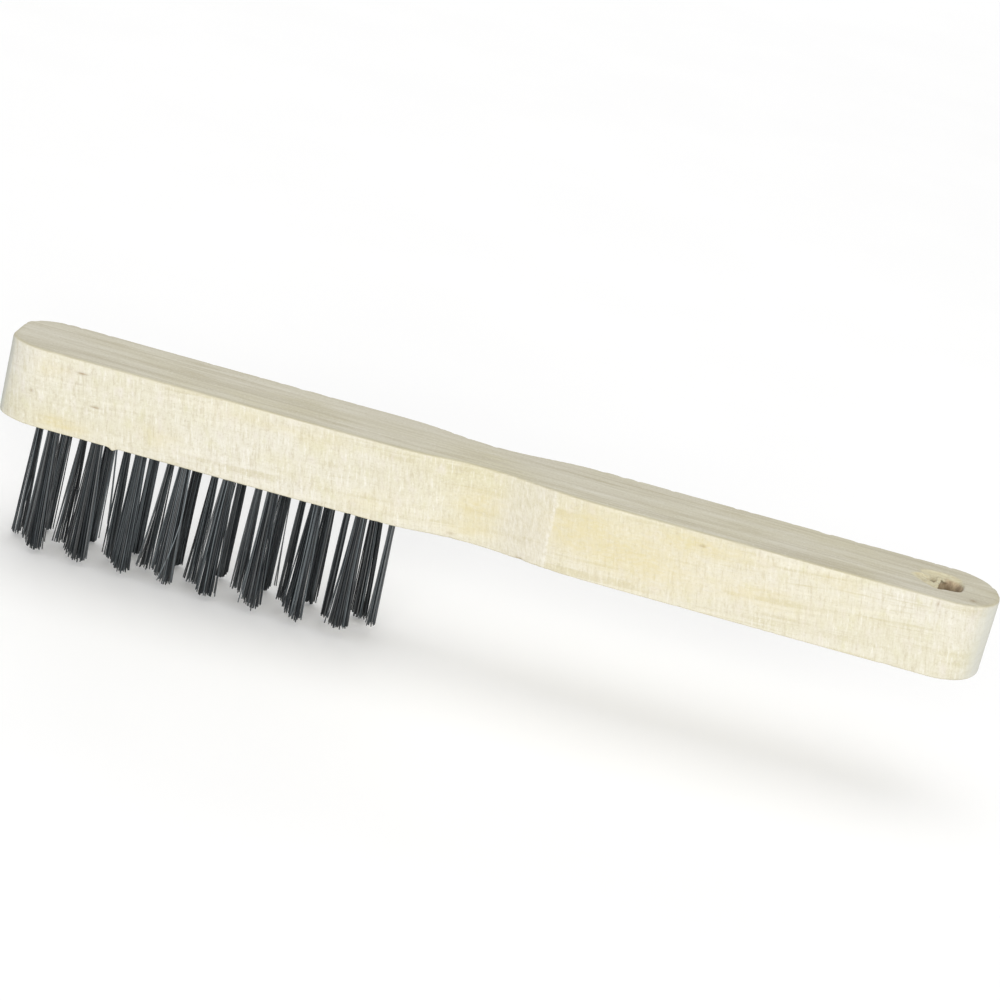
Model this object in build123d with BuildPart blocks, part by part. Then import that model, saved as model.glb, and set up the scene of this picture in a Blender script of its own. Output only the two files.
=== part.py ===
from build123d import *
import math
import os

# Hand wire brush: a one-piece sawn wooden block (head, waisted neck and
# straight handle) with three staggered rows of drilled blind holes.  Every
# hole holds one tuft of folded steel wire, pinned by a small flat-wire anchor
# that is driven across the fold into the wood.
#
# Frame: +X along the block from the head towards the hanging hole,
#        +Z up out of the back of the block, wires pointing to -Z.
# Origin: centre of the footprint, on the plane of the wire tips.
# Millimetres.

# ---------------------------------------------------------------- block
length = 290.0                 # overall length of the wooden block
thickness = 23.4               # constant thickness of the block
tip_gap = 38.6                 # free wire length below the block
z_face = tip_gap               # drilled face of the block
z_back = z_face + thickness    # top of the block

head_half_width = 14.4         # at the head end
head_neck_half_width = 14.0    # where the head starts to narrow
neck_corner_half_width = 9.2   # theoretical corner, before the neck arc
handle_neck_half_width = 14.85 # where the handle is full width again
handle_half_width = 14.7       # at the handle end, slightly tapered

head_corner_x = -24.1          # where the head starts to narrow
neck_corner_x = -4.5           # theoretical bottom of the waist
handle_corner_x = 23.0         # where the handle is full width again

head_blend_radius = 59.0
neck_blend_radius = 56.0
handle_blend_radius = 85.0

head_end_flat = 8.8            # half height of the flat at the head end
head_end_slope_x = 7.8         # length of the bevel between flat and side
head_end_radius_a = 7.6
head_end_radius_b = 15.0
handle_end_radius = 13.8
edge_rounding = 0.45           # light sanding of the long edges

# hanging hole through the handle end
hang_x = 129.3
hang_radius = 5.0

# ---------------------------------------------------------------- tufts
row_spacing = 9.2              # middle row to outer rows
outer_count = 8
middle_count = 9
# first hole and hole-to-hole pitch of each row; the rows wander a little
front_first_x = -127.2
front_pitch = 13.17
middle_first_x = -133.5
middle_pitch = 13.32
back_first_x = -127.35
back_pitch = 13.40

hole_depth = 14.0
front_hole_radius = 1.80
middle_hole_radius = 1.00
back_hole_radius = 1.65
stem_clearance = 0.04          # wire bundle to hole wall, per side

front_tip_radius = 3.70
middle_tip_radius = 2.40
back_tip_radius = 2.20

# flat-wire anchor across the fold of every tuft
anchor_height = 2.0
anchor_gauge = 0.45
anchor_bite = 0.75             # how far each end cuts into the wood
anchor_seat = 10.2             # lower edge of the anchor above the drilled face
anchor_clearance = 0.03

os.makedirs("parts", exist_ok=True)

half = length / 2.0
drill_tip_angle = math.radians(59.0)


def row_points(first_x, pitch, count, y):
    return [(first_x + pitch * i, y) for i in range(count)]


front_points = row_points(front_first_x, front_pitch, outer_count, -row_spacing)
middle_points = row_points(middle_first_x, middle_pitch, middle_count, 0.0)
back_points = row_points(back_first_x, back_pitch, outer_count, row_spacing)

rows = [
    ("front_row", front_points, front_hole_radius, front_tip_radius),
    ("middle_row", middle_points, middle_hole_radius, middle_tip_radius),
    ("back_row", back_points, back_hole_radius, back_tip_radius),
]

# ---------------------------------------------------------------- wooden body
outline = [
    (-half, 0.0),
    (-half, head_end_flat),
    (-half + head_end_slope_x, head_half_width),
    (head_corner_x, head_neck_half_width),
    (neck_corner_x, neck_corner_half_width),
    (handle_corner_x, handle_neck_half_width),
    (half, handle_half_width),
    (half, 0.0),
]


def corner(sketch_vertices, x, y):
    return [v for v in sketch_vertices
            if abs(v.X - x) < 1e-4 and abs(abs(v.Y) - y) < 1e-4]


with BuildPart() as wooden_body:
    # plan outline, drawn as a polygon and blended corner by corner
    with BuildSketch(Plane.XY.offset(z_face)) as plan:
        with BuildLine():
            side = Polyline(*outline)
            mirror(side, about=Plane.XZ)
        make_face()
        fillet(corner(plan.vertices(), *outline[1]), head_end_radius_a)
        fillet(corner(plan.vertices(), *outline[2]), head_end_radius_b)
        fillet(corner(plan.vertices(), *outline[3]), head_blend_radius)
        fillet(corner(plan.vertices(), *outline[4]), neck_blend_radius)
        fillet(corner(plan.vertices(), *outline[5]), handle_blend_radius)
        fillet(corner(plan.vertices(), *outline[6]), handle_end_radius)
    extrude(amount=thickness)

    # sanded long edges, top and bottom
    rim = (wooden_body.faces().sort_by(Axis.Z)[0].edges()
           + wooden_body.faces().sort_by(Axis.Z)[-1].edges())
    fillet(rim, edge_rounding)

    # hanging hole
    with Locations((hang_x, 0.0, z_back)):
        Hole(radius=hang_radius, depth=thickness)

    # blind holes with a drill point, one profile revolved for each row
    for row_name, points, radius, tip_radius in rows:
        point_height = radius / math.tan(drill_tip_angle)
        with BuildSketch(Plane.XZ, mode=Mode.PRIVATE) as drill:
            with BuildLine():
                Polyline(
                    (0.0, z_face - 1.0),
                    (radius, z_face - 1.0),
                    (radius, z_face + hole_depth),
                    (0.0, z_face + hole_depth + point_height),
                    close=True,
                )
            make_face()
        bit = revolve(drill.sketch, axis=Axis.Z, mode=Mode.PRIVATE)
        with Locations(*[(x, y, 0.0) for x, y in points]):
            add(bit, mode=Mode.SUBTRACT)

        # pockets that the two ends of each anchor cut into the hole wall
        with Locations(*[(x, y, z_face + anchor_seat + anchor_height / 2)
                         for x, y in points]):
            Box(2 * (radius + anchor_bite) + 2 * anchor_clearance,
                anchor_gauge + 2 * anchor_clearance,
                anchor_height + 2 * anchor_clearance,
                mode=Mode.SUBTRACT)

wooden_body.part.label = "wooden_body"
export_step(wooden_body.part, "parts/wooden_body.step")

# ---------------------------------------------------------------- tufts, anchors
for row_name, points, radius, tip_radius in rows:
    stem = radius - stem_clearance
    fold_z = z_face + hole_depth - 0.15
    for index, (x, y) in enumerate(points, start=1):
        # bundle of folded wires: straight stem in the hole, flaring brush below
        with BuildPart() as tuft:
            with BuildSketch(Plane.XZ.offset(-y)) as bundle:
                with BuildLine():
                    Polyline(
                        (x, 0.0),
                        (x + tip_radius, 0.0),
                        (x + stem + 0.45 * (tip_radius - stem), z_face * 0.50),
                        (x + stem, z_face - 0.6),
                        (x + stem, fold_z - 0.5 * stem),
                        (x + 0.55 * stem, fold_z),
                        (x, fold_z),
                        close=True,
                    )
                make_face()
            revolve(axis=Axis((x, y, 0.0), (0, 0, 1)))
            # window under the fold that the anchor passes through
            with Locations((x, y, z_face + anchor_seat + anchor_height / 2)):
                Box(4 * radius,
                    anchor_gauge + 2 * anchor_clearance,
                    anchor_height + 2 * anchor_clearance,
                    mode=Mode.SUBTRACT)
        tuft_name = row_name + "_tuft_" + str(index)
        tuft.part.label = tuft_name
        export_step(tuft.part, "parts/" + tuft_name + ".step")

        # flat-wire anchor, both ends sunk into the wood
        with BuildPart() as anchor:
            with Locations((x, y, z_face + anchor_seat + anchor_height / 2)):
                Box(2 * (radius + anchor_bite), anchor_gauge, anchor_height)
            fillet(anchor.edges().filter_by(Axis.Y), 0.2)
        anchor_name = row_name + "_anchor_" + str(index)
        anchor.part.label = anchor_name
        export_step(anchor.part, "parts/" + anchor_name + ".step")
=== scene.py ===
import math

import bpy
import numpy as np
from mathutils import Matrix, Vector


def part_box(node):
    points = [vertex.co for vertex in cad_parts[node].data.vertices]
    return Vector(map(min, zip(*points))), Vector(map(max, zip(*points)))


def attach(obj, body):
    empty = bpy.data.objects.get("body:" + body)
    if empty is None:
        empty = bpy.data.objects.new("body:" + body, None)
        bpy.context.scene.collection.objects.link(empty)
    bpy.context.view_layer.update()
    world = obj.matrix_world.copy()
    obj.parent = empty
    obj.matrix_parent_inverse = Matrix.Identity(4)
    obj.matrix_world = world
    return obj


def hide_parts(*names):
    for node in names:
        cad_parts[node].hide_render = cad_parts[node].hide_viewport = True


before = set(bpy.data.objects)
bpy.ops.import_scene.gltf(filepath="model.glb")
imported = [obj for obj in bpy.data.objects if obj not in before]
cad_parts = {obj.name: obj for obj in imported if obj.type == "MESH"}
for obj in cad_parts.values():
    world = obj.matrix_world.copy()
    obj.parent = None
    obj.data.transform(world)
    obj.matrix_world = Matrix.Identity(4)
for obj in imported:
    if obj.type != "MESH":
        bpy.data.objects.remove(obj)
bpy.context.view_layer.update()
MM = 0.001
scene = bpy.context.scene

# =====================================================================
# camera
# =====================================================================
FOCAL_PX = 3103.2
AZ, EL, ROLL = math.radians(-4.406), math.radians(20.064), math.radians(14.06)
DIST = 0.89008
body_lo, body_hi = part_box("wooden_body")
target = Vector((0.0, 0.0, body_lo.z + 0.000145))

fwd = Vector((math.sin(AZ) * math.cos(EL), math.cos(AZ) * math.cos(EL), -math.sin(EL)))
right = Vector((math.cos(AZ), -math.sin(AZ), 0.0))
up = right.cross(fwd)
cam_right = right * math.cos(ROLL) + up * math.sin(ROLL)
cam_up = up * math.cos(ROLL) - right * math.sin(ROLL)

cam_data = bpy.data.cameras.new("main_camera")
cam_data.sensor_width = 36.0
cam_data.lens = FOCAL_PX * 36.0 / 1000.0
cam_data.shift_x = 0.01422
cam_data.shift_y = 0.03494
cam_data.clip_start = 0.01
cam_data.clip_end = 60.0
cam = bpy.data.objects.new("main_camera", cam_data)
m = Matrix.Identity(4)
for i, axis in enumerate((cam_right, cam_up, -fwd)):
    for k in range(3):
        m[k][i] = axis[k]
eye = target - fwd * DIST
for k in range(3):
    m[k][3] = eye[k]
cam.matrix_world = m
scene.collection.objects.link(cam)
scene.camera = cam

# =====================================================================
# the brush's own numbers, in millimetres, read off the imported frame
# =====================================================================
Z_FACE = body_lo.z / MM            # drilled face
Z_BACK = body_hi.z / MM            # top of the block
HALF = body_hi.x / MM
HANG_X, HANG_R = 129.3, 5.0
HOLE_R = {"front_row": 1.80, "middle_row": 1.00, "back_row": 1.65}
HOLE_DEPTH = 14.0


def centre(node):
    lo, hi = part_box(node)
    return ((lo.x + hi.x) / 2 / MM, (lo.y + hi.y) / 2 / MM)


tufts = []
for name in sorted(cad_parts):
    if "_tuft_" in name:
        row = name.split("_tuft_")[0]
        x, y = centre(name)
        lo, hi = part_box(name)
        anchor_lo, anchor_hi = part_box(name.replace("_tuft_", "_anchor_"))
        tufts.append({"node": name, "row": row, "index": int(name.split("_tuft_")[1]),
                      "x": x, "y": y, "r": HOLE_R[row], "tip_r": (hi.x - lo.x) / 2 / MM,
                      "anchor_top": anchor_hi.z / MM, "anchor_bottom": anchor_lo.z / MM,
                      "top": hi.z / MM})


# =====================================================================
# small numpy tools
# =====================================================================
def hash01(ix, iy, iz, seed):
    h = (ix.astype(np.int64) * 374761393 + iy.astype(np.int64) * 668265263
         + iz.astype(np.int64) * 2147483647 + seed * 974634777) & 0xFFFFFFFF
    h = ((h ^ (h >> 13)) * 1274126177) & 0xFFFFFFFF
    h = ((h ^ (h >> 16)) * 2246822519) & 0xFFFFFFFF
    h = h ^ (h >> 15)
    return (h & 0xFFFFFF).astype(np.float64) / float(0xFFFFFF)


def vnoise(x, y, z, seed):
    """Smooth value noise, -1 to 1."""
    x, y, z = np.broadcast_arrays(np.asarray(x, float), np.asarray(y, float), np.asarray(z, float))
    xi, yi, zi = np.floor(x), np.floor(y), np.floor(z)
    fx, fy, fz = x - xi, y - yi, z - zi
    fx = fx * fx * (3 - 2 * fx); fy = fy * fy * (3 - 2 * fy); fz = fz * fz * (3 - 2 * fz)
    out = 0
    for dx in (0, 1):
        wx = fx if dx else 1 - fx
        for dy in (0, 1):
            wy = fy if dy else 1 - fy
            for dz in (0, 1):
                wz = fz if dz else 1 - fz
                out = out + wx * wy * wz * hash01(xi + dx, yi + dy, zi + dz, seed)
    return out * 2 - 1


def smooth(a, b, x):
    t = np.clip((x - a) / (b - a), 0, 1)
    return t * t * (3 - 2 * t)


def smax(a, b, k):
    """Smooth maximum: rounds the edge where two surfaces meet."""
    h = np.clip(0.5 + 0.5 * (a - b) / k, 0, 1)
    return b + (a - b) * h + k * h * (1 - h)


# =====================================================================
# wooden block: the same outline as the frame, worked as a distance field,
# so that worn edges, chips and torn fibres are real surface
# =====================================================================
def filleted(points, radii, step=0.25):
    """Open polyline with each inner corner replaced by a tangent arc."""
    out = [np.array(points[0], float)]
    for i in range(1, len(points) - 1):
        p0, p1, p2 = (np.array(points[k], float) for k in (i - 1, i, i + 1))
        a = (p0 - p1) / np.linalg.norm(p0 - p1)
        b = (p2 - p1) / np.linalg.norm(p2 - p1)
        r = radii[i - 1]
        half_angle = math.acos(np.clip(a @ b, -1, 1)) / 2
        t = r / math.tan(half_angle)
        bis = (a + b) / np.linalg.norm(a + b)
        c = p1 + bis * (r / math.sin(half_angle))
        s0, s1 = p1 + a * t, p1 + b * t
        a0 = math.atan2(*(s0 - c)[::-1])
        a1 = math.atan2(*(s1 - c)[::-1])
        d = (a1 - a0 + math.pi) % (2 * math.pi) - math.pi
        n = max(3, int(abs(d) * r / step) + 1)
        for k in range(n + 1):
            ang = a0 + d * k / n
            out.append(c + r * np.array([math.cos(ang), math.sin(ang)]))
    out.append(np.array(points[-1], float))
    return np.array(out)


side = filleted(
    [(-HALF, 0.0), (-HALF, 8.8), (-HALF + 7.8, 14.4), (-24.1, 14.0), (-4.5, 9.2),
     (23.0, 14.85), (HALF, 14.7), (HALF, 0.0)],
    [7.6, 15.0, 59.0, 56.0, 85.0, 13.8])
outline = np.concatenate([side, (side * [1, -1])[::-1][1:-1]])


def outline_distance(px, py):
    """Signed distance to the plan outline, negative inside. px, py: 1-D arrays."""
    q = np.stack([px, np.abs(py)], 1)
    best = np.full(len(q), 1e9)
    p0, p1 = side[:-1], side[1:]
    for a, b in zip(p0, p1):
        e = b - a
        ll = max(e @ e, 1e-12)
        near = (q[:, 0] > min(a[0], b[0]) - 20) & (q[:, 0] < max(a[0], b[0]) + 20)
        if not near.any():
            continue
        w = q[near] - a
        t = np.clip((w @ e) / ll, 0, 1)
        d = w - t[:, None] * e
        best[near] = np.minimum(best[near], (d * d).sum(1))
    best = np.sqrt(best)
    # inside test: half width of the outline at this x
    order = np.argsort(side[:, 0], kind="stable")
    width = np.interp(q[:, 0], side[order, 0], side[order, 1], left=-1, right=-1)
    inside = (q[:, 1] < width) & (np.abs(q[:, 0]) < HALF)
    return np.where(inside, -best, best)


H = 0.42                                    # grid step
gx = np.arange(-HALF - 2 * H, HALF + 2.5 * H, H)
gy = np.arange(-15.9, 15.9 + H, H)
gz = np.arange(Z_FACE - 3 * H, Z_BACK + 3.5 * H, H)
PX, PY = np.meshgrid(gx, gy, indexing="ij")
d2 = outline_distance(PX.ravel(), PY.ravel()).reshape(PX.shape)


def wood_field(x, y, z, d2):
    """Distance field of the finished block; all arguments broadcast together."""
    zc, hz = (Z_FACE + Z_BACK) / 2, (Z_BACK - Z_FACE) / 2
    dz = np.abs(z - zc) - hz
    # lightly sanded edges: the rounding wanders between 0.25 and 0.8 mm
    r = 0.44 + 0.16 * vnoise(x / 17.0, y / 30.0, z / 9.0, 11) + 0.12 * vnoise(x / 4.1, y / 6.0, z / 9.0, 12)
    r = np.clip(r + 0.22 * smooth(HALF - 14, HALF, np.abs(x)) + 0.9 * smooth(128, 143, x) * smooth(1, -4, z - zc), 0.25, 1.8)
    a, b = d2 + r, dz + r
    f = np.sqrt(np.maximum(a, 0) ** 2 + np.maximum(b, 0) ** 2) + np.minimum(np.maximum(a, b), 0) - r
    return f


X3, Y3, Z3 = gx[:, None, None], gy[None, :, None], gz[None, None, :]
F = wood_field(X3, Y3, Z3, d2[:, :, None])

# near-surface detail only
X, Y, Z = np.broadcast_arrays(X3, Y3, Z3)
D2 = np.broadcast_to(d2[:, :, None], F.shape)
sel = np.abs(F) < 2.2
x, y, z, dd = X[sel], Y[sel], Z[sel], D2[sel]
top_dist = Z_BACK - z
on_side = smooth(0.2, 1.2, np.minimum(z - Z_FACE, Z_BACK - z))   # away from the two flat faces
# raised grain, long along the block
rough = 0.022 * (1 + vnoise(x / 9.0, y / 0.55, z / 0.55, 21)) + 0.020 * (1 + vnoise(x / 31.0, y / 1.9, z / 1.9, 22))
# saw chatter across the sawn sides
chatter = 0.020 * (1 + np.sin(x * 2 * math.pi / 1.9 + 2.2 * vnoise(x / 14.0, 0, z / 20.0, 23)))
chatter += 0.020 * (1 + vnoise(x / 0.9, 0 * y, z / 9.0, 24))
g = F[sel] + rough + chatter * on_side * (0.5 + 0.5 * smooth(-0.4, 0.5, vnoise(x / 22.0, 0, 0, 25)))
# broad unevenness of the sawn sides
g = g + 0.03 * (1 + vnoise(x / 26.0, y / 14.0, z / 12.0, 26))
# small knocks along the edges
edge = smooth(1.6, 0.2, np.abs(dd)) * smooth(1.8, 0.2, np.minimum(z - Z_FACE, Z_BACK - z))
knock = np.clip(vnoise(x / 2.1, y / 2.4, z / 2.2, 31) - 0.45, 0, 1) * 1.1
g = g + edge * knock * 0.55
F = F.copy()
F[sel] = g


def subtract(field_value, k=0.0):
    """Cuts away where field_value is negative."""
    global F
    F = smax(F, -field_value, k) if k else np.maximum(F, -field_value)


# hanging hole, with a slightly ragged rim
region = np.abs(gx - HANG_X) < 16
i0, i1 = np.where(region)[0][[0, -1]]
sl = slice(i0, i1 + 1)
xs, ys, zs = X3[sl], Y3, Z3
rr = np.sqrt((xs - HANG_X) ** 2 + ys ** 2)
ang = np.arctan2(ys, xs - HANG_X)
hole_r = HANG_R - 0.04 + 0.10 * vnoise(ang * 3.0, zs / 2.5, 0, 41)
bell = (0.25 + np.where(ang > 0, 2.15, 1.65) * np.abs(np.sin(ang)) ** 1.3) * smooth(2.3, 0.0, Z_BACK - zs) + 0.5 * smooth(1.4, 0.0, zs - Z_FACE) * (0.6 + 0.4 * vnoise(ang * 2.2, 0, 0, 42))
hole = rr - (hole_r + bell * (0.7 + 0.5 * vnoise(ang * 2.6, 1, 0, 43)))
# tear-out on the top face, from the rim towards the head
along = (HANG_X - 3.2 - xs)                     # 0 at the rim, growing towards the head
reach = 7.2
t = np.clip(along / reach, 0, 1)
half_w = 5.7 * (1 - t) ** 0.8 + 0.25
off_y = ys - (-0.7 + 1.2 * t)
depth = (1.7 * (1 - t) ** 1.3 + 0.10) * np.clip(1 - (off_y / half_w) ** 2, 0, 1) ** 0.6
fibre = 0.42 * vnoise(xs / 6.0, ys / 0.42, 0, 44) + 0.25 * vnoise(xs / 2.2, ys / 0.8, 0, 45)
depth = np.where((along > -1.5) & (along < reach), np.maximum(depth * (1 + fibre), 0), 0)
tear = zs - (Z_BACK - depth)                    # cut where above the torn floor
tear = -np.minimum(tear, 0.35 * (half_w - np.abs(off_y)) + 0.0 * zs)
F[sl] = np.maximum(F[sl], -hole)
F[sl] = np.maximum(F[sl], np.where(depth > 0.02, -tear, -9.0))
# shallow chip on the far side of the rim
qx, qy = (xs - 127.8) / 6.4, (ys - 5.0) / (3.0 + 0.5 * vnoise(xs / 1.1, 0, 0, 47))
chip = 0.75 * np.sqrt(np.clip(1 - qx ** 2 - qy ** 2, 0, 1)) * (1 + 0.35 * vnoise(xs / 4.0, ys / 0.4, 0, 48))
F[sl] = np.maximum(F[sl], np.where(chip > 0.02, -np.maximum(Z_BACK - chip - zs, -1.5 + 0 * zs) * 0.8, -9.0))
# torn fibres left standing across the hole's head side: an upright sliver, and
# a flap that joins its lower half to the rim
tongues = None
for (cx, cy, hx, hy, z0, tilt, skew) in ((127.0, 0.1, 0.62, 4.9, 0.85, -0.10, 0.14), (125.4, -2.2, 1.9, 2.2, 1.15, 0.12, 0.0),
                                         (128.6, 4.6, 1.3, 0.65, 1.0, 0.3, 0.0)):
    ragged = 0.35 * vnoise(xs / 0.9, ys / 1.1, 0, 52)
    q = np.maximum(np.abs(ys - cy) - hy, np.abs(xs - cx - skew * (ys - cy)) - hx - ragged)
    zq = np.abs(zs - (Z_BACK - z0 - tilt * (xs - cx) + 0.22 * vnoise(xs / 1.5, ys / 0.7, 0, 51))) - 0.45
    t1 = np.maximum(q, zq)
    tongues = t1 if tongues is None else np.minimum(tongues, t1)
F[sl] = np.minimum(F[sl], np.broadcast_to(tongues, F[sl].shape))

# tuft holes: slightly broken rims on the drilled face
for tf in tufts:
    r0 = tf["r"]
    ii = np.where(np.abs(gx - tf["x"]) < r0 + 2)[0]
    jj = np.where(np.abs(gy - tf["y"]) < r0 + 2)[0]
    a, b = slice(ii[0], ii[-1] + 1), slice(jj[0], jj[-1] + 1)
    xx, yy, zz = X3[a], Y3[:, b], Z3
    rr = np.sqrt((xx - tf["x"]) ** 2 + (yy - tf["y"]) ** 2)
    an = np.arctan2(yy - tf["y"], xx - tf["x"])
    rim = 0.45 * smooth(0.9, 0.0, zz - Z_FACE) * (0.5 + 0.5 * vnoise(an * 1.6 + tf["x"], tf["y"], 0, 61))
    tip = np.maximum(zz - (Z_FACE + HOLE_DEPTH), 0) * 1.66
    F[a, b] = np.maximum(F[a, b], -np.maximum(rr + tip - (r0 + rim), (zz - (Z_FACE + HOLE_DEPTH + 1.2))))

# small nicks on the lower front edge
for cx, w, d in ((-8.8, 0.8, 0.45), (11.7, 1.0, 0.55), (-79.0, 0.5, 0.35), (58.0, 0.6, 0.4), (101.0, 0.5, 0.35)):
    a = np.where(np.abs(gx - cx) < 5)[0]
    s = slice(a[0], a[-1] + 1)
    yf = -np.interp(cx, side[:, 0], side[:, 1])
    xx, yy, zz = X3[s], Y3, Z3
    q = np.sqrt(((xx - cx) / (1.6 * w)) ** 2 + ((yy - yf) / (0.8 * w)) ** 2 + ((zz - Z_FACE) / d) ** 2)
    F[s] = np.maximum(F[s], -(q - 1) * 0.4)

# splinter lifted off the lower front edge
SPL_X = -108.5
a = np.where(np.abs(gx - SPL_X) < 5)[0]
s = slice(a[0], a[-1] + 1)
xx, yy, zz = X3[s], Y3, Z3
drop = 0.70 * np.clip(1 - np.abs((xx - SPL_X) / 1.2) ** 1.6, 0, 1)
q = np.maximum(np.abs(yy + 13.75 - 0.1 * (zz - Z_FACE)) - 0.42, np.maximum(Z_FACE - drop - zz, zz - Z_FACE - 0.8))
q = np.maximum(q, np.abs(xx - SPL_X) - 1.4)
F[s] = np.minimum(F[s], np.broadcast_to(q, F[s].shape))

import openvdb
grid = openvdb.FloatGrid(background=3.0)
grid.copyFromArray(np.clip(F, -3.0, 3.0).astype(np.float32))
pts, tris, quads = grid.convertToPolygons(isovalue=0.0, adaptivity=0.0)
pts = np.asarray(pts, float) * H + np.array([gx[0], gy[0], gz[0]])
pts[:, 0] = np.clip(pts[:, 0], -HALF, HALF)
pts[:, 2] = np.clip(pts[:, 2], np.where(np.abs(pts[:, 0] - SPL_X) < 2.0, Z_FACE - 1.2, Z_FACE), Z_BACK)
faces = [tuple(int(i) for i in q[::-1]) for q in quads] + [tuple(int(i) for i in q[::-1]) for q in tris]
mesh = bpy.data.meshes.new("wooden_block")
mesh.from_pydata((pts * MM).tolist(), [], faces)
mesh.update()
print("block faces", len(faces))

# painted masks carried by the surface: sanded edge and torn raw wood
pd2 = outline_distance(pts[:, 0], pts[:, 1])
zt = np.minimum(pts[:, 2] - Z_FACE, Z_BACK - pts[:, 2])
edge_mask = smooth(1.9, 0.3, np.maximum(-pd2, 0)) * smooth(1.9, 0.3, zt)
px, py, pz = pts.T
along = HANG_X - 3.2 - px
t = np.clip(along / reach, 0, 1)
half_w = 5.7 * (1 - t) ** 0.8 + 0.25
raw = smooth(0.5, -0.3, np.abs(py - (-0.7 + 1.2 * t)) - half_w) * smooth(3.4, 0.0, Z_BACK - pz) \
    * smooth(-2.5, -1.0, along) * smooth(reach + 0.8, reach - 1.5, along)
# in_hole: the inside wall of the hanging hole, where painted shade darkens the wood; it also bounds the torn wood
in_hole = smooth(HANG_R + 2.4, HANG_R + 0.9, np.hypot(px - HANG_X, py)) * smooth(0.45, 1.3, Z_BACK - pz)
torn = smooth(129.4, 128.6, px) * smooth(122.0, 123.5, px) * smooth(2.4, 1.7, Z_BACK - pz) * (np.abs(py) < 6.5)
worn = smooth(HANG_R + 0.1, HANG_R + 0.5, np.hypot(px - HANG_X, py)) * smooth(HANG_R + 3.2, HANG_R + 2.4, np.hypot(px - HANG_X, py)) \
    * smooth(0.12, 0.3, Z_BACK - pz) * smooth(1.6, 0.9, Z_BACK - pz)
chipped = smooth(1.02, 0.9, np.sqrt(((px - 127.8) / 6.4) ** 2 + ((py - 5.0) / 3.0) ** 2)) * smooth(0.10, 0.22, Z_BACK - pz) * smooth(1.3, 0.9, Z_BACK - pz)
raw = np.maximum(raw, np.maximum(torn * in_hole * 0.9, np.maximum(0.7 * worn, 0.8 * chipped)))
in_hole = in_hole * (1 - 0.85 * torn)

# marks that belong to this piece of wood: warm stains, a rough torn-grain band
# across the front of the neck, and small brown flecks (x, z, half length, half height, strength)
front = smooth(-1.7, -0.4, pd2) * (py < 0)
wx = px + 2.2 * vnoise(px / 6.0, pz / 3.0, 0, 71) + 0.8 * vnoise(px / 1.6, pz / 1.2, 0, 72)
wz = pz + 1.1 * vnoise(px / 6.0, pz / 3.0, 0, 73)
warm = 0
for cx, cz, sx, sz, amp in ((-124.6, 41.6, 7.0, 2.6, 1.0), (-131.0, 57.0, 6.0, 2.6, 0.45), (-96.0, 45.5, 7.0, 3.0, 0.5),
                            (-62.0, 58.5, 26.0, 2.2, 0.35), (-33.0, 44.0, 9.0, 4.0, 0.4), (-3.3, 49.7, 7.0, 5.5, 0.75),
                            (27.0, 53.0, 9.0, 6.0, 0.85), (46.0, 49.0, 15.0, 6.5, 0.65), (62.0, 58.0, 16.0, 2.6, 0.7),
                            (78.0, 48.0, 9.0, 3.0, 0.5), (34.0, 51.0, 46.0, 16.0, 0.42), (96.0, 50.0, 30.0, 9.0, 0.22), (-6.0, 42.5, 10.0, 2.0, 0.5), (98.0, 58.5, 9.0, 2.0, 0.35)):
    warm = warm + amp * np.exp(-((wx - cx) / sx) ** 2 - ((wz - cz) / sz) ** 2)
warm = np.clip(warm, 0, 1) * front
behind = 0
for cx, cz, sx, sz, amp in ((-118.0, 55.0, 12.0, 4.0, 0.5), (-52.0, 45.0, 20.0, 3.5, 0.45), (2.0, 53.0, 12.0, 5.0, 0.6),
                            (44.0, 47.0, 22.0, 5.0, 0.55), (92.0, 56.0, 18.0, 3.5, 0.45)):
    behind = behind + amp * np.exp(-((wx - cx) / sx) ** 2 - ((wz - cz) / sz) ** 2)
warm = warm + np.clip(behind, 0, 1) * smooth(-1.7, -0.4, pd2) * (py > 0)
px2 = px + 0.7 * vnoise(px / 2.0, pz / 2.5, 0, 74) + 0.05 * (pz - Z_FACE)
band = smooth(1.2, 7.0, px2) * smooth(19.4, 18.4, px2) * front
pl = px + 0.04 * (pz - Z_FACE) + 0.15 * vnoise(px / 3.0, pz / 4.0, 0, 76)
line = smooth(18.0, 18.4, pl) * smooth(19.3, 18.9, pl) * front
spot = 0
for cx, cz, sx, sz, amp in ((-121.2, 58.1, 1.5, 0.34, 1.0), (-121.4, 54.9, 1.1, 0.25, 0.5), (-115.7, 49.4, 1.4, 0.32, 1.0),
                            (-134.7, 49.2, 0.6, 0.5, 0.8), (60.8, 58.3, 1.0, 0.30, 0.8), (12.3, 40.7, 0.8, 0.20, 0.45),
                            (-8.8, 40.3, 1.2, 0.24, 0.75), (11.7, 39.2, 1.1, 0.34, 0.95), (127.7, 60.4, 0.28, 0.9, 0.8)):
    spot = spot + amp * np.exp(-((px - cx) / sx) ** 2 - ((pz - cz) / sz) ** 2) * front
back = smooth(-1.7, -0.4, pd2) * (py > 0)
for cx, cz, sx, sz, amp in ((-93.0, 46.3, 1.3, 0.28, 0.8), (-31.5, 57.1, 0.9, 0.25, 0.6), (38.4, 44.0, 1.6, 0.30, 0.9),
                            (41.9, 45.6, 0.7, 0.22, 0.5), (103.2, 53.8, 1.0, 0.26, 0.7)):
    spot = spot + amp * np.exp(-((px - cx) / sx) ** 2 - ((pz - cz) / sz) ** 2) * back
spot = spot + 0.8 * np.exp(-((px - 137.2) / 1.0) ** 2 - ((py + 8.9) / 0.9) ** 2) * (pz > Z_BACK - 1)
for name, values in (("edge", edge_mask), ("raw", raw), ("hole_shade", in_hole), ("warm", warm), ("band", band),
                     ("line", line), ("spot", np.clip(spot, 0, 1))):
    att = mesh.attributes.new(name, "FLOAT", "POINT")
    att.data.foreach_set("value", values.astype(np.float32))
mesh.shade_smooth()
block = bpy.data.objects.new("wooden_block", mesh)
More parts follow.
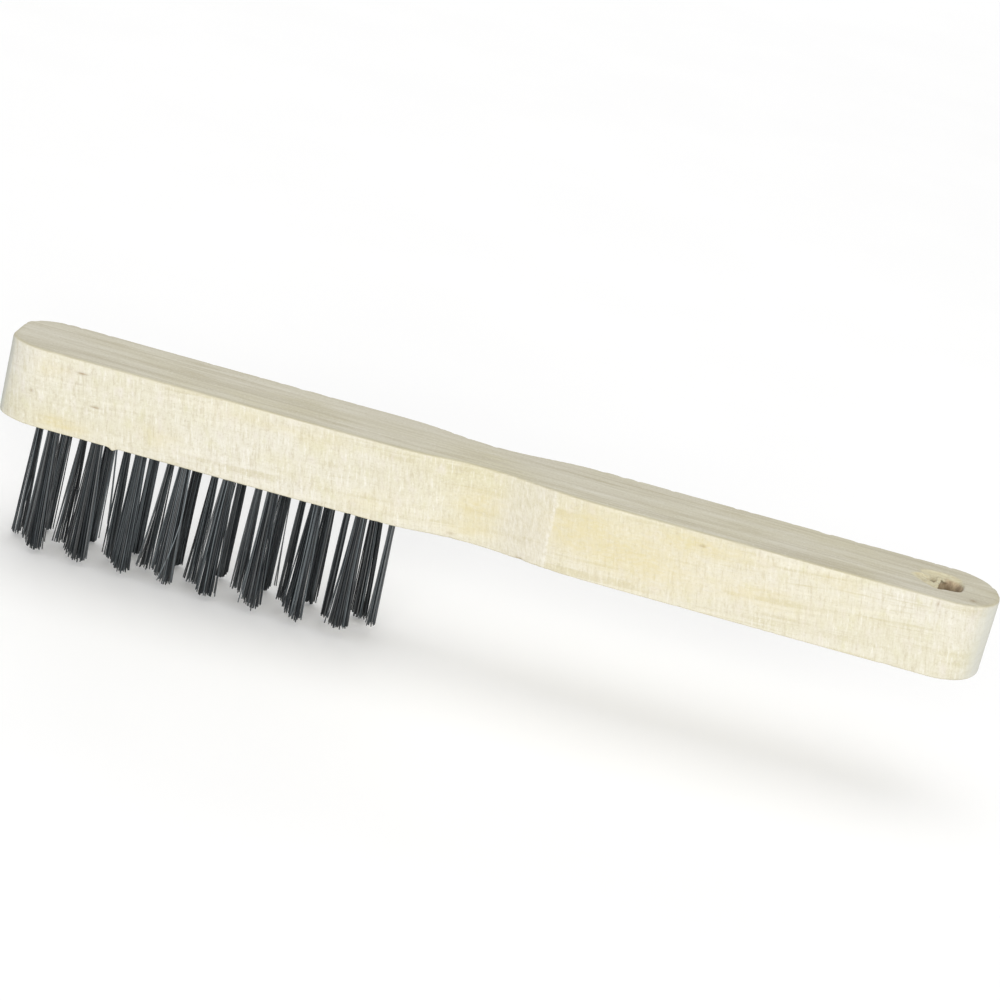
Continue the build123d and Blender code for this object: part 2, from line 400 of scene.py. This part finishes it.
scene.collection.objects.link(block)
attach(block, "root")
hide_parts("wooden_body")


# =====================================================================
# node helpers
# =====================================================================
class Nodes:
    def __init__(self, name):
        self.mat = bpy.data.materials.new(name)
        self.mat.use_nodes = True
        self.t = self.mat.node_tree
        self.t.nodes.clear()
        self.out = self.t.nodes.new("ShaderNodeOutputMaterial")
        self.bsdf = self.t.nodes.new("ShaderNodeBsdfPrincipled")
        self.t.links.new(self.bsdf.outputs[0], self.out.inputs[0])
        self.coord = self.t.nodes.new("ShaderNodeTexCoord").outputs["Object"]

    def link(self, a, b):
        self.t.links.new(a, b)

    def put(self, socket, value):
        if isinstance(value, bpy.types.NodeSocket):
            self.link(value, socket)
        elif value is not None:
            socket.default_value = value

    def math(self, op, a, b=None, c=None, clamp=False):
        n = self.t.nodes.new("ShaderNodeMath")
        n.operation = op
        n.use_clamp = clamp
        for s, v in zip(n.inputs, (a, b, c)):
            self.put(s, v)
        return n.outputs[0]

    def scaled(self, sx, sy, sz, offset=(0, 0, 0), source=None):
        """Object coordinates times 1/mm scales."""
        n = self.t.nodes.new("ShaderNodeMapping")
        n.inputs["Scale"].default_value = (sx / MM, sy / MM, sz / MM)
        n.inputs["Location"].default_value = offset
        self.link(source or self.coord, n.inputs[0])
        return n.outputs[0]

    def noise(self, vec, scale=1.0, detail=3.0, rough=0.55, distort=0.0, dims="3D", w=0.0):
        n = self.t.nodes.new("ShaderNodeTexNoise")
        n.noise_dimensions = dims
        if dims == "4D":
            n.inputs["W"].default_value = w
        self.link(vec, n.inputs["Vector"])
        n.inputs["Scale"].default_value = scale
        n.inputs["Detail"].default_value = detail
        n.inputs["Roughness"].default_value = rough
        n.inputs["Distortion"].default_value = distort
        return n.outputs["Fac"]

    def voronoi(self, vec, scale=1.0, feature="F1", rand=1.0):
        n = self.t.nodes.new("ShaderNodeTexVoronoi")
        n.feature = feature
        self.link(vec, n.inputs["Vector"])
        n.inputs["Scale"].default_value = scale
        n.inputs["Randomness"].default_value = rand
        return n.outputs

    def ramp(self, value, a, b, lo=0.0, hi=1.0, kind="SMOOTHSTEP"):
        n = self.t.nodes.new("ShaderNodeMapRange")
        n.interpolation_type = kind
        self.put(n.inputs["Value"], value)
        n.inputs["From Min"].default_value = a
        n.inputs["From Max"].default_value = b
        n.inputs["To Min"].default_value = lo
        n.inputs["To Max"].default_value = hi
        return n.outputs["Result"]

    def mix(self, fac, a, b, kind="MIX"):
        n = self.t.nodes.new("ShaderNodeMix")
        n.data_type = "RGBA"
        n.blend_type = kind
        self.put(n.inputs[0], fac)
        self.put(n.inputs[6], a if isinstance(a, bpy.types.NodeSocket) else (*a, 1.0))
        self.put(n.inputs[7], b if isinstance(b, bpy.types.NodeSocket) else (*b, 1.0))
        return n.outputs[2]

    def attribute(self, name):
        n = self.t.nodes.new("ShaderNodeAttribute")
        n.attribute_name = name
        return n.outputs["Fac"]

    def separate(self, vec):
        n = self.t.nodes.new("ShaderNodeSeparateXYZ")
        self.link(vec, n.inputs[0])
        return n.outputs

    def combine(self, x, y, z):
        n = self.t.nodes.new("ShaderNodeCombineXYZ")
        for s, v in zip(n.inputs, (x, y, z)):
            self.put(s, v)
        return n.outputs[0]

    def normal(self):
        n = self.t.nodes.new("ShaderNodeNewGeometry")
        return n.outputs["Normal"]

    def bump(self, height, distance, strength=1.0, normal=None):
        n = self.t.nodes.new("ShaderNodeBump")
        n.inputs["Distance"].default_value = distance
        n.inputs["Strength"].default_value = strength
        self.link(height, n.inputs["Height"])
        if normal is not None:
            self.link(normal, n.inputs["Normal"])
        return n.outputs[0]


# =====================================================================
# wood
# =====================================================================
w = Nodes("bare_wood")
p = w.separate(w.scaled(1, 1, 1))                       # millimetres
wander = w.noise(w.scaled(0.012, 0.05, 0.05), 1.0, 2.0)
wander2 = w.noise(w.scaled(0.004, 0.02, 0.02, (3, 1, 7)), 1.0, 1.0)
# growth rings about a pith line far below and in front of the block
ry = w.math("SUBTRACT", p[1], 34.0)
rz = w.math("SUBTRACT", p[2], -31.0)
radius = w.math("SQRT", w.math("ADD", w.math("MULTIPLY", ry, ry), w.math("MULTIPLY", rz, rz)))
radius = w.math("ADD", radius, w.math("MULTIPLY", wander, 5.0))
radius = w.math("ADD", radius, w.math("MULTIPLY", wander2, 9.0))
ring = w.math("FRACT", w.math("MULTIPLY", radius, 1 / 2.6))
late = w.math("POWER", ring, 3.0)
late = w.math("MULTIPLY", late, w.ramp(ring, 1.0, 0.93))
fibres = w.noise(w.scaled(0.045, 2.6, 2.6), 1.0, 4.0, 0.6)
streaks = w.noise(w.scaled(0.012, 0.55, 0.55, (11, 5, 3)), 1.0, 3.0, 0.55)
patches = w.noise(w.scaled(0.017, 0.05, 0.05, (5, 9, 2)), 1.0, 2.0, 0.5)
yellow = w.noise(w.scaled(0.022, 0.035, 0.06, (21, 2, 12)), 1.0, 2.0, 0.5)

nrm = w.separate(w.normal())
side_mask = w.ramp(w.math("ABSOLUTE", nrm[2]), 0.6, 0.3)
top_mask = w.ramp(w.math("ABSOLUTE", nrm[2]), 0.6, 0.85)
cream = (0.544, 0.519, 0.415)
pale = (0.570, 0.547, 0.474)
straw = (0.524, 0.492, 0.320)
tan = (0.380, 0.326, 0.225)
col = w.mix(w.ramp(patches, 0.35, 0.68), cream, pale)
col = w.mix(w.ramp(yellow, 0.50, 0.76, 0.0, 0.70), col, straw)
col = w.mix(w.math("MULTIPLY", late, w.ramp(side_mask, 0.0, 1.0, 0.22, 0.07)), col, tan)
col = w.mix(w.ramp(fibres, 0.50, 0.78, 0.0, 0.20), col, tan)
col = w.mix(w.ramp(streaks, 0.55, 0.80, 0.0, 0.20), col, (0.455, 0.415, 0.320))
col = w.mix(w.ramp(streaks, 0.45, 0.22, 0.0, 0.35), col, (0.580, 0.558, 0.492))
# the flat top is mixed toward a darker, yellower tone and shows long streaks
col = w.mix(w.math("MULTIPLY", top_mask, 0.42), col, (0.505, 0.468, 0.338))
long1 = w.noise(w.scaled(0.010, 0.75, 0.2, (31, 4, 9)), 1.0, 4.0, 0.6)
long2 = w.noise(w.scaled(0.013, 0.16, 0.2, (13, 14, 9)), 1.0, 3.0, 0.55)
col = w.mix(w.math("MULTIPLY", w.ramp(long1, 0.44, 0.70, 0.0, 0.55), top_mask), col, (0.400, 0.358, 0.262))
col = w.mix(w.math("MULTIPLY", w.ramp(long1, 0.49, 0.30, 0.0, 0.35), top_mask), col, (0.585, 0.562, 0.470))
col = w.mix(w.math("MULTIPLY", w.ramp(long2, 0.50, 0.68, 0.0, 0.50), top_mask), col, (0.400, 0.365, 0.262))
col = w.mix(w.math("MULTIPLY", w.ramp(long2, 0.46, 0.30, 0.0, 0.40), top_mask), col, (0.590, 0.566, 0.478))
short1 = w.noise(w.scaled(0.045, 0.42, 0.2, (41, 24, 9)), 1.0, 4.0, 0.62)
col = w.mix(w.math("MULTIPLY", w.ramp(short1, 0.50, 0.70, 0.0, 0.60), top_mask), col, (0.410, 0.368, 0.255))
col = w.mix(w.math("MULTIPLY", w.ramp(short1, 0.46, 0.28, 0.0, 0.50), top_mask), col, (0.600, 0.575, 0.490))
# long grain lines that rise gently along the sides
lift = w.math("ADD", w.math("SUBTRACT", p[2], w.math("MULTIPLY", p[0], 0.07)), w.math("MULTIPLY", wander, 6.0))
grain_v = w.combine(w.math("MULTIPLY", p[0], 0.016), w.math("MULTIPLY", p[1], 0.05), w.math("MULTIPLY", lift, 0.62))
grain = w.noise(grain_v, 1.0, 4.0, 0.62)
broken = w.ramp(w.noise(w.scaled(0.05, 0.1, 0.16, (19, 7, 5)), 1.0, 2.0), 0.36, 0.62)
col = w.mix(w.math("MULTIPLY", w.math("MULTIPLY", w.ramp(grain, 0.51, 0.61, 0.0, 0.60), broken), side_mask), col, (0.438, 0.396, 0.255))
col = w.mix(w.math("MULTIPLY", w.math("MULTIPLY", w.ramp(grain, 0.47, 0.36, 0.0, 0.55), broken), side_mask), col, (0.615, 0.590, 0.500))
# sawn sides: fine upright strokes, mottled light and dark
sx_ = w.math("ADD", p[0], w.math("MULTIPLY", p[2], 0.19))
stroke_v = w.combine(w.math("MULTIPLY", sx_, 1.6), w.math("MULTIPLY", p[1], 0.03), w.math("MULTIPLY", p[2], 0.27))
stroke = w.noise(stroke_v, 1.0, 5.0, 0.66)
col = w.mix(w.math("MULTIPLY", w.ramp(stroke, 0.50, 0.70, 0.0, 0.68), side_mask), col, (0.430, 0.386, 0.282))
col = w.mix(w.math("MULTIPLY", w.ramp(stroke, 0.48, 0.29, 0.0, 0.75), side_mask), col, (0.645, 0.628, 0.575))
mot_v = w.combine(w.math("MULTIPLY", sx_, 0.34), w.math("MULTIPLY", p[1], 0.05), w.math("MULTIPLY", p[2], 0.20))
mot = w.noise(mot_v, 1.0, 3.0, 0.6)
col = w.mix(w.math("MULTIPLY", w.ramp(mot, 0.52, 0.74, 0.0, 0.60), side_mask), col, (0.568, 0.531, 0.475))
col = w.mix(w.math("MULTIPLY", w.ramp(mot, 0.46, 0.24, 0.0, 0.60), side_mask), col, (0.520, 0.498, 0.350))
speck = w.noise(w.scaled(1.3, 1.3, 1.5, (17, 3, 8)), 1.0, 3.0, 0.7)
col = w.mix(w.ramp(speck, 0.53, 0.72, 0.0, 0.46), col, (0.39, 0.345, 0.25))
col = w.mix(w.ramp(speck, 0.47, 0.28, 0.0, 0.46), col, (0.63, 0.612, 0.550))
# short dark pores and flecks
cell = w.voronoi(w.scaled(0.30, 1.9, 1.9, (2, 4, 6)), 1.0)
fleck = w.math("MULTIPLY", w.ramp(cell["Distance"], 0.20, 0.05), w.ramp(w.noise(w.scaled(0.05, 0.2, 0.2, (8, 8, 8)), 1.0, 1.0), 0.42, 0.60))
col = w.mix(w.math("MULTIPLY", fleck, 0.28), col, (0.33, 0.26, 0.17))
# end grain: paler, cut pores
end = w.ramp(w.math("ABSOLUTE", nrm[0]), 0.50, 0.92)
pores = w.voronoi(w.scaled(1.0, 3.4, 3.4), 1.0)
end_col = w.mix(w.math("MULTIPLY", late, 0.25), (0.548, 0.550, 0.500), (0.470, 0.440, 0.368))
end_col = w.mix(w.ramp(pores["Distance"], 0.22, 0.06, 0.0, 0.25), end_col, (0.44, 0.38, 0.29))
# painted shade: the left end face is mixed toward a darker grey, standing in for the weaker light on that end
end_col = w.mix(w.ramp(p[0], -110.0, -140.0, 0.0, 0.85), end_col, (0.440, 0.446, 0.405))
col = w.mix(w.math("MULTIPLY", end, 0.88), col, end_col)
# the marks carried by the surface
warm_n = w.noise(w.scaled(0.5, 0.6, 1.1, (6, 3, 3)), 1.0, 3.0, 0.6)
warm_f = w.math("MULTIPLY", w.attribute("warm"), w.ramp(warm_n, 0.25, 0.65, 0.45, 1.0))
col = w.mix(w.math("MULTIPLY", warm_f, 0.72), col, (0.530, 0.462, 0.258))
scr_v = w.combine(w.math("MULTIPLY", w.math("ADD", p[0], w.math("MULTIPLY", p[2], 0.35)), 1.9), w.math("MULTIPLY", p[1], 0.2), w.math("MULTIPLY", p[2], 0.55))
scr = w.noise(scr_v, 1.0, 4.0, 0.7)
band_col = w.mix(w.ramp(scr, 0.36, 0.66), (0.582, 0.560, 0.512), (0.430, 0.392, 0.305))
col = w.mix(w.math("MULTIPLY", w.attribute("band"), 0.42), col, band_col)
line_n = w.ramp(w.noise(w.scaled(0.6, 0.6, 0.9, (2, 2, 9)), 1.0, 3.0, 0.6), 0.38, 0.60, 0.15, 1.0)
col = w.mix(w.math("MULTIPLY", w.math("MULTIPLY", w.attribute("line"), line_n), 0.62), col, (0.640, 0.618, 0.560))
col = w.mix(w.math("MULTIPLY", w.attribute("spot"), 0.80), col, (0.235, 0.165, 0.085))
# sanded edges are cleaner, torn wood is yellow and fibrous, and painted shade darkens the inside of the hanging hole
col = w.mix(w.math("MULTIPLY", w.math("MULTIPLY", w.attribute("edge"), side_mask), 0.25), col, (0.57, 0.53, 0.41))
col = w.mix(w.math("MULTIPLY", w.math("MULTIPLY", w.attribute("edge"), w.math("SUBTRACT", 1.0, side_mask)), 0.45), col, (0.44, 0.405, 0.268))
raw_col = w.mix(w.ramp(w.noise(w.scaled(0.25, 3.2, 3.2, (1, 2, 3)), 1.0, 3.0), 0.40, 0.66), (0.610, 0.570, 0.400), (0.505, 0.440, 0.275))
col = w.mix(w.attribute("raw"), col, raw_col)
# painted shade: the hanging hole's inner wall is mixed toward dark brown, standing in for the shade inside the hole
hole_shade_col = w.mix(w.ramp(w.noise(w.scaled(0.8, 0.8, 0.35, (4, 4, 4)), 1.0, 3.0), 0.35, 0.65), (0.50, 0.385, 0.245), (0.27, 0.185, 0.105))
col = w.mix(w.math("MULTIPLY", w.attribute("hole_shade"), 0.85), col, hole_shade_col)
w.link(col, w.bsdf.inputs["Base Color"])
rough_n = w.noise(w.scaled(0.08, 1.2, 1.2, (7, 7, 7)), 1.0, 3.0)
w.link(w.ramp(rough_n, 0.3, 0.7, 0.60, 0.80), w.bsdf.inputs["Roughness"])
w.bsdf.inputs["Specular IOR Level"].default_value = 0.30
# relief: long fibres, sawn strokes on the sides, torn grain in the band
fine = w.noise(w.scaled(0.10, 3.6, 3.6, (9, 1, 1)), 1.0, 5.0, 0.65)
n1 = w.bump(fine, 0.00012, 0.5)
n2 = w.bump(w.math("MULTIPLY", stroke, side_mask), 0.00022, 0.55, n1)
n3 = w.bump(w.math("MULTIPLY", scr, w.attribute("band")), 0.00014, 0.28, n2)
n4 = w.bump(w.math("SUBTRACT", 1.0, fleck), 0.00008, 0.5, n3)
w.link(n4, w.bsdf.inputs["Normal"])
mesh.materials.append(w.mat)


# =====================================================================
# steel wire
# =====================================================================
def steel(name, dark, light, rough_lo, rough_hi, metallic):
    s = Nodes(name)
    tone = s.attribute("tone")
    along_n = s.noise(s.scaled(1.3, 1.3, 0.11), 1.0, 3.0, 0.6)
    spots = s.noise(s.scaled(2.4, 2.4, 0.9, (3, 1, 4)), 1.0, 2.0, 0.6)
    c = s.mix(s.math("ADD", s.math("MULTIPLY", tone, 0.75), s.math("MULTIPLY", s.math("SUBTRACT", along_n, 0.5), 0.5), clamp=True), dark, light)
    c = s.mix(s.ramp(spots, 0.62, 0.80, 0.0, 0.45), c, (0.075, 0.062, 0.055))
    c = s.mix(s.attribute("cut"), c, (0.40, 0.41, 0.42))
    odd = s.math("FRACT", s.math("MULTIPLY", tone, 41.3))
    c = s.mix(s.ramp(odd, 0.58, 0.72, 0.0, 0.35), c, s.mix(tone, (0.021, 0.019, 0.018), (0.240, 0.224, 0.216)))
    s.link(c, s.bsdf.inputs["Base Color"])
    s.bsdf.inputs["Metallic"].default_value = metallic
    s.link(s.ramp(spots, 0.3, 0.7, rough_lo, rough_hi), s.bsdf.inputs["Roughness"])
    s.link(s.bump(s.noise(s.scaled(9, 9, 0.4), 1.0, 3.0), 0.00002, 0.6), s.bsdf.inputs["Normal"])
    return s.mat


wire_mat = steel("oiled_steel_wire", (0.013, 0.017, 0.020), (0.222, 0.250, 0.266), 0.30, 0.52, 0.55)
anchor_mat = steel("flat_anchor_wire", (0.16, 0.165, 0.17), (0.34, 0.35, 0.36), 0.25, 0.45, 0.95)


# =====================================================================
# tufts: every wire is one piece, folded over the anchor, two legs down
# =====================================================================
WIRE_R = 0.175
SIDES = 6


def packed_disc(n, r, rng):
    """n points in a disc of radius r, evenly spread and relaxed."""
    k = np.arange(n)
    rad = r * np.sqrt((k + 0.5) / n)
    a = k * 2.399963 + rng.uniform(0, 6.28)
    pts = np.stack([rad * np.cos(a), rad * np.sin(a)], 1) + rng.normal(0, 0.03, (n, 2))
    for _ in range(25):
        d = pts[:, None] - pts[None]
        dist = np.sqrt((d ** 2).sum(-1)) + np.eye(n) * 9
        gap = np.clip(0.37 - dist, 0, 0.2)
        pts += ((d / dist[..., None]) * gap[..., None]).sum(1) * 0.35
        rr = np.sqrt((pts ** 2).sum(1))
        over = rr > r
        pts[over] *= (r / rr[over])[:, None]
    return pts


def tube(path, r, tone, sides=SIDES):
    """Closed tube along a path of points; returns vertices and faces."""
    path = np.asarray(path, float)
    n = len(path)
    tan = np.gradient(path, axis=0)
    tan /= np.linalg.norm(tan, axis=1)[:, None]
    ref = np.array([0.0, 1.0, 0.0]) if abs(tan[0][1]) < 0.8 else np.array([1.0, 0.0, 0.0])
    u = np.cross(tan[0], ref); u /= np.linalg.norm(u)
    us = [u]
    for i in range(1, n):
        u = us[-1] - tan[i] * (us[-1] @ tan[i])
        us.append(u / np.linalg.norm(u))
    us = np.array(us)
    vs = np.cross(tan, us)
    a = np.arange(sides) * 2 * math.pi / sides
    ring = us[:, None] * np.cos(a)[None, :, None] + vs[:, None] * np.sin(a)[None, :, None]
    co = (path[:, None] + ring * r).reshape(-1, 3)
    faces = []
    for i in range(n - 1):
        for k in range(sides):
            k2 = (k + 1) % sides
            faces.append((i * sides + k, i * sides + k2, (i + 1) * sides + k2, (i + 1) * sides + k))
    faces.append(tuple(range(sides))[::-1])
    faces.append(tuple((n - 1) * sides + k for k in range(sides)))
    return co, faces


LEGS = {"front_row": 64, "middle_row": 26, "back_row": 54}

# how each tuft has been bent by use: lean of the tips along the block, half
# width at the tips, and height of the tips above the lowest plane at the left
# edge, left of the middle, right of the middle and right edge (mm)
SHAPE = {
    "front_row": {1: (0.1, 3.6, (4.3, 1.9, 0.7, 0.9)), 2: (0.0, 3.9, (3.4, 2.2, 1.0, 1.5)),
                  3: (0.0, 3.5, (4.2, 2.0, 1.0, 1.8)), 4: (-0.4, 3.7, (4.6, 3.4, 1.4, 1.0)),
                  5: (-0.2, 3.4, (3.9, 1.2, 1.3, 1.2)), 6: (0.4, 3.4, (4.4, 2.6, 1.0, 2.0)),
                  7: (-0.3, 3.6, (4.6, 2.8, 1.1, 1.6)), 8: (0.4, 3.5, (4.2, 2.6, 3.0, 3.6))},
    "middle_row": {1: (-0.6, 2.3, (0.3, 0.1, 0.3, 0.6)), 2: (-1.0, 2.2, (0.6, 0.9, 0.8, 0.8)),
                   3: (0.5, 1.6, (1.6, 0.9, 0.4, 0.4)), 4: (-1.5, 2.5, (0.4, 0.4, 0.6, 0.8)),
                   5: (-0.7, 2.3, (0.4, 0.2, 0.2, 0.3)), 6: (-0.2, 1.9, (1.8, 1.5, 1.0, 0.6)),
                   7: (-0.3, 1.45, (2.1, 2.1, 2.0, 2.0)), 8: (0.1, 0.95, (1.2, 1.0, 0.9, 0.9)),
                   9: (0.5, 1.55, (2.2, 2.0, 2.2, 2.8))},
    "back_row": {1: (-0.9, 1.75, (0.5, 0.2, 0.1, 0.3)), 2: (-0.2, 1.9, (0.5, 0.1, 0.1, 0.4)),
                 3: (0.0, 1.8, (0.4, 0.1, 0.1, 0.5)), 4: (-0.6, 1.7, (0.3, 0.1, 0.1, 0.3)),
                 5: (0.0, 1.9, (0.5, 0.2, 0.8, 2.4)), 6: (0.0, 1.8, (0.5, 0.1, 0.2, 1.6)),
                 7: (0.4, 1.9, (0.4, 0.1, 0.1, 0.2)), 8: (2.1, 2.7, (0.8, 0.3, 0.1, 0.1))},
}
# single wires bent away from their tuft: side of the tuft, tip offset in x and
# y, tip height, sideways bow, tone
STRAYS = {
    "back_row_tuft_2": (("right", 4.4, 0.4, 1.0, 0.1, 1.0), ("right", 3.7, -0.5, 7.0, 0.3, 0.9)),
    "back_row_tuft_6": (("right", 3.1, 0.2, 2.2, -0.2, 0.35), ("right", 2.6, -0.3, 2.4, 0.2, 0.6)),
    "middle_row_tuft_2": (("left", -3.5, 0.2, 0.5, 0.2, 0.95), ("left", -3.2, -0.6, 1.0, -0.2, 0.6), ("left", -2.9, 0.6, 0.3, 0.1, 0.8)),
    "middle_row_tuft_4": (("left", -4.2, 0.2, 0.5, 0.2, 1.0), ("left", -3.8, -0.5, 0.3, 0.3, 0.7)),
    "middle_row_tuft_5": (("left", -3.1, 0.3, 0.6, 0.1, 0.5),),
    "middle_row_tuft_6": (("left", -2.2, 0.3, 1.6, -0.2, 0.8), ("left", -2.0, -0.3, 3.0, 0.1, 0.6)),
    "front_row_tuft_4": (("right", -0.9, -2.6, 2.4, 1.9, 1.0),),
    "middle_row_tuft_1": (("right", -1.2, -1.3, 1.2, 0.9, 1.0),),
    "front_row_tuft_6": (("left", -2.9, -1.0, 2.0, 0.2, 0.8),),
    "front_row_tuft_8": (("left", -3.4, -0.6, 3.0, 0.2, 0.4),),
}


def build_tuft(tf):
    seed = {"front_row": 100, "middle_row": 200, "back_row": 300}[tf["row"]] + tf["index"]
    rng = np.random.RandomState(seed)
    n = LEGS[tf["row"]]
    wire_r = 0.165 if tf["row"] == "middle_row" else WIRE_R
    r_in = tf["r"] - wire_r - 0.04
    base = packed_disc(n, r_in, rng)
    # the same number of legs on each side of the anchor
    order = np.argsort(base[:, 1])
    lower, upper = base[order[: n // 2]], base[order[n // 2:]]
    lower = lower[np.argsort(lower[:, 0])]
    upper = upper[np.argsort(upper[:, 0])]
    lean_x, half_w, tip_z = SHAPE[tf["row"]][tf["index"]]
    lean = np.array([lean_x, rng.normal(0, 0.2)])
    strays = STRAYS.get(tf["node"], ())
    right = [q for q in strays if q[0] == "right"]
    left = [q for q in strays if q[0] == "left"]
    coords, faces, tones, cuts = [], [], [], []
    count = 0

    def leg(b, bent=None):
        """Points of one leg from the mouth of the hole down to its tip."""
        rel = b / r_in
        tip = lean + rel * [half_w, 0.8 * half_w + 0.2] * rng.uniform(0.80, 1.0) + rng.normal(0, 0.15, 2)
        if rng.rand() < 0.05:
            tip = tip + rng.normal(0, 0.5, 2)
        z_tip = np.interp((tip[0] - lean_x) / half_w, [-1, -0.35, 0.35, 1], tip_z)
        z_tip += abs(rng.normal(0, 0.45))
        if rng.rand() < 0.07:
            z_tip += rng.uniform(0.8, 3.0)
        bow = rng.normal(0, 0.16, 2)
        power = 0.62 if tf["node"] == "back_row_tuft_8" else 1.12
        if bent is not None:
            tip = np.array(bent[1:3])
            z_tip = bent[3]
            bow = np.array([bent[4], 0.0])
        z_tip = max(z_tip, 0.06)
        pts = []
        for s in np.linspace(0, 1, 9):
            zz = Z_FACE + 0.2 + (z_tip - Z_FACE - 0.2) * s
            f = s ** power
            q = b * (1 - f) + tip * f + bow * math.sin(math.pi * s)
            pts.append((tf["x"] + q[0], tf["y"] + q[1], zz))
        return pts

    over = tf["anchor_top"]
    layers = rng.permutation(len(lower))
    for k, (b0, b1) in enumerate(zip(lower, upper)):
        bent = None
        if k < len(left):
            bent = left[k]
        elif k >= len(lower) - len(right):
            bent = right[len(lower) - 1 - k]
        side0, side1 = leg(b0, bent), leg(b1)
        lay = (layers[k] % 5)
        y0 = -(0.42 + (abs(b0[1])) * (r_in - 0.42) / r_in)
        y1 = (0.42 + (abs(b1[1])) * (r_in - 0.42) / r_in)
        apex = min(over + 0.22 + 0.30 * lay, tf["top"] - WIRE_R)
        xm0, xm1 = b0[0] * 0.96, b1[0] * 0.96
        inner = [
            (tf["x"] + b0[0], tf["y"] + (b0[1] + y0) / 2, Z_FACE + 4.0),
            (tf["x"] + xm0, tf["y"] + y0, Z_FACE + 9.0),
            (tf["x"] + xm0, tf["y"] + y0, over - 0.4),
            (tf["x"] + (xm0 * 2 + xm1) / 3, tf["y"] + y0 * 0.72, apex - 0.25),
            (tf["x"] + (xm0 + xm1) / 2, tf["y"] + (y0 + y1) / 2 * 0.5, apex),
            (tf["x"] + (xm0 + xm1 * 2) / 3, tf["y"] + y1 * 0.72, apex - 0.25),
            (tf["x"] + xm1, tf["y"] + y1, over - 0.4),
            (tf["x"] + xm1, tf["y"] + y1, Z_FACE + 9.0),
            (tf["x"] + b1[0], tf["y"] + (b1[1] + y1) / 2, Z_FACE + 4.0),
        ]
        path = side0[::-1] + inner + side1
        tone = float(np.clip(rng.beta(0.65, 1.5), 0, 1)) if bent is None else bent[5]
        co, fc = tube(path, wire_r, tone)
        coords.append(co)
        faces.extend([tuple(i + count for i in f) for f in fc])
        count += len(co)
        tones.extend([tone] * len(co))
        cut = np.zeros(len(co))
        cuts.append(cut)
    me = bpy.data.meshes.new(tf["node"] + "_wires")
    me.from_pydata((np.concatenate(coords) * MM).tolist(), [], faces)
    me.update()
    for nm, val in (("tone", np.array(tones)), ("cut", np.concatenate(cuts))):
        att = me.attributes.new(nm, "FLOAT", "POINT")
        att.data.foreach_set("value", val.astype(np.float32))
    me.shade_smooth()
    # flat cut ends
    for poly in me.polygons:
        if len(poly.vertices) == SIDES:
            poly.use_smooth = False
    me.materials.append(wire_mat)
    ob = bpy.data.objects.new(tf["node"] + "_wires", me)
    scene.collection.objects.link(ob)
    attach(ob, "root")
    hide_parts(tf["node"])
    return ob


for tf in tufts:
    build_tuft(tf)

for name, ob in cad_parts.items():
    if "_anchor_" in name:
        ob.data.materials.clear()
        ob.data.materials.append(anchor_mat)
    elif name == "wooden_body":
        ob.data.materials.clear()
        ob.data.materials.append(w.mat)
    else:
        ob.data.materials.clear()
        ob.data.materials.append(wire_mat)

# =====================================================================
# plain pale floor and soft light
# =====================================================================
fm = Nodes("pale_floor")
fn = fm.noise(fm.scaled(0.01, 0.01, 0.01), 1.0, 2.0)
fm.link(fm.mix(fm.ramp(fn, 0.3, 0.7), (0.95, 0.95, 0.95), (0.96, 0.96, 0.96)), fm.bsdf.inputs["Base Color"])
fm.bsdf.inputs["Roughness"].default_value = 0.9
fm.bsdf.inputs["Specular IOR Level"].default_value = 0.1
floor_mesh = bpy.data.meshes.new("floor")
S = 14.0
floor_mesh.from_pydata([(-S, -S, -0.0004), (S, -S, -0.0004), (S, S, -0.0004), (-S, S, -0.0004)], [], [(0, 1, 2, 3)])
floor_mesh.materials.append(fm.mat)
floor = bpy.data.objects.new("floor", floor_mesh)
scene.collection.objects.link(floor)


def softbox(name, place, aim, size, power, colour=(1, 1, 1)):
    data = bpy.data.lights.new(name, "AREA")
    data.shape = "RECTANGLE"
    data.size, data.size_y = size
    data.energy = power
    data.color = colour
    ob = bpy.data.objects.new(name, data)
    ob.location = place
    d = Vector(aim) - Vector(place)
    ob.rotation_euler = d.to_track_quat("-Z", "Y").to_euler()
    scene.collection.objects.link(ob)
    return ob


softbox("key_front", (0.60, -2.9, 0.82), (0.0, 0.0, 0.04), (3.1, 1.7), 87.5, (1.0, 0.995, 0.975))
softbox("fill_left", (-1.5, -0.9, 0.7), (0.0, 0.0, 0.04), (1.0, 1.0), 0.9, (0.97, 0.99, 1.0))
softbox("rear", (-0.5, 2.9, 0.9), (0.0, 0.0, 0.04), (2.6, 1.4), 22.0)
softbox("top", (0.0, 0.3, 1.8), (0.0, 0.0, 0.04), (1.6, 1.6), 7.0)

world = bpy.data.worlds.new("studio")
scene.world = world
world.use_nodes = True
bg = world.node_tree.nodes.get("Background") or world.node_tree.nodes.new("ShaderNodeBackground")
bg.inputs[0].default_value = (1.0, 1.0, 1.0, 1.0)
bg.inputs[1].default_value = 0.64
scene.view_settings.view_transform = "Standard"
scene.view_settings.look = "None"
scene.view_settings.exposure = 0.0
scene.view_settings.gamma = 1.0
